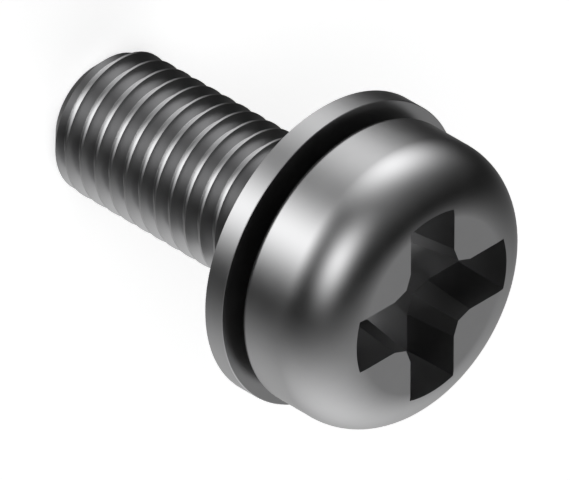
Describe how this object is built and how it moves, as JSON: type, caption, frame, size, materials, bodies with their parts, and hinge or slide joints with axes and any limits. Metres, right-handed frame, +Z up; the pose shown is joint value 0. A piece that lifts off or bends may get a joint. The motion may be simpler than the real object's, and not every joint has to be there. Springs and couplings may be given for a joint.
{
  "type": "pan head machine screw",
  "caption": "Pan head machine screw with a cross recess, a fine right-hand thread and a captive flat washer under its head.",
  "frame": {"origin": "centre of the flat end face of the threaded point, on the screw's axis", "axes": "+Z runs up the screw's axis from the end face to the head, and +X and +Y run along the wings of the cross recess"},
  "size_m": [0.0166, 0.0166, 0.0239],
  "materials": {
    "screw": "bright",
    "washer": "bright"
  },
  "bodies": {
    "screw": {"screw": "screw"},
    "washer": {"washer": "washer"}
  },
  "joints": [
    {"name": "washer_slide", "type": "slide", "parent": "screw", "child": "washer", "axis": [0, 0, 1], "range_m": [0, 0.00074]}
  ]
}
